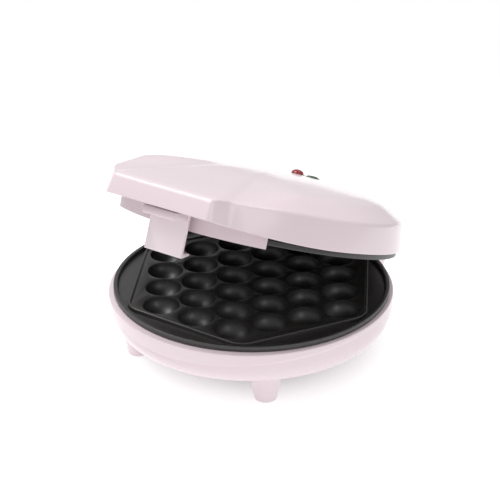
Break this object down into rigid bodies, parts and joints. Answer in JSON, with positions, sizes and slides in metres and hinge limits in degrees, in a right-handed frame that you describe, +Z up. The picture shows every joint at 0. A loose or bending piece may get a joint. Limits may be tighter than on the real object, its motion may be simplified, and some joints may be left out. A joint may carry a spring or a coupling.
{
  "type": "bubble waffle maker",
  "caption": "Round hinged bubble waffle maker: dimpled cooking plates in a glossy case with a front nose, a latch, signal lamps and short tapered feet.",
  "frame": {"origin": "middle of the outline seen from above, on the plane the foot pads stand on", "axes": "+Z up, -Y towards the nose and latch at the front, +Y towards the hinge at the back, +X to the right seen from the front"},
  "size_m": [0.195, 0.2182, 0.1503],
  "materials": {
    "pink_plastic": "glossy pale pink moulding",
    "non_stick": "cast aluminium with a dark grey non-stick coat",
    "aluminium_sheet": "plain rolled sheet",
    "white_ceramic": "unglazed off-white",
    "woven_sleeve": "woven heat-proof sleeve",
    "grey_rubber": "matt grey",
    "black_rubber": "matt black",
    "red_lens": "clear red signal lens",
    "green_lens": "clear dark green signal lens",
    "lamp_glass": "clear lamp glass",
    "steel": "plain bright steel"
  },
  "bodies": {
    "base": {"cord_gland": "black_rubber", "foot_pad_1": "grey_rubber", "foot_pad_2": "grey_rubber", "foot_pad_3": "grey_rubber", "foot_pad_4": "grey_rubber", "hinge_clip_left": "steel", "hinge_clip_right": "steel", "hinge_pin_left": "steel", "hinge_pin_right": "steel", "lower_element": "steel", "lower_element_retainer": "steel", "lower_feed_wire": "woven_sleeve", "lower_heat_shield": "aluminium_sheet", "lower_housing": "pink_plastic", "lower_link_wire": "woven_sleeve", "lower_neutral_wire": "woven_sleeve", "lower_plate": "non_stick", "lower_plate_screw_1": "steel", "lower_plate_screw_2": "steel", "lower_plate_screw_3": "steel", "lower_plate_screw_4": "steel", "lower_return_wire": "woven_sleeve", "lower_terminal_block": "white_ceramic", "lower_thermal_fuse": "woven_sleeve", "lower_thermostat": "white_ceramic"},
    "lid": {"lamp_bracket": "steel", "lamp_screw_1": "steel", "lamp_screw_2": "steel", "latch_pin": "steel", "latch_spring": "steel", "nose_cover": "pink_plastic", "nose_screw_1": "steel", "nose_screw_2": "steel", "power_lamp": "lamp_glass", "power_lens": "red_lens", "ready_lamp": "lamp_glass", "ready_lens": "green_lens", "upper_element": "steel", "upper_element_retainer": "steel", "upper_feed_wire": "woven_sleeve", "upper_heat_shield": "aluminium_sheet", "upper_heater_screw_1": "steel", "upper_heater_screw_2": "steel", "upper_heater_screw_3": "steel", "upper_heater_screw_4": "steel", "upper_housing": "pink_plastic", "upper_link_wire": "woven_sleeve", "upper_neutral_wire": "woven_sleeve", "upper_plate": "non_stick", "upper_plate_screw_1": "steel", "upper_plate_screw_2": "steel", "upper_plate_screw_3": "steel", "upper_plate_screw_4": "steel", "upper_return_wire": "woven_sleeve", "upper_terminal_block": "white_ceramic", "upper_thermal_fuse": "woven_sleeve", "upper_thermostat": "white_ceramic"},
    "latch": {"latch": "pink_plastic"}
  },
  "joints": [
    {"name": "lid_hinge", "type": "hinge", "parent": "base", "child": "lid", "pos_m": [0, 0.09523, 0.042], "axis": [-1, 0, 0], "range_deg": [-21.4, 73.6]},
    {"name": "latch_pivot", "type": "hinge", "parent": "lid", "child": "latch", "pos_m": [0, -0.08986, 0.13838], "axis": [-1, 0, 0], "range_deg": [-2, 8], "stiffness_Nm_per_rad": 0.15}
  ]
}
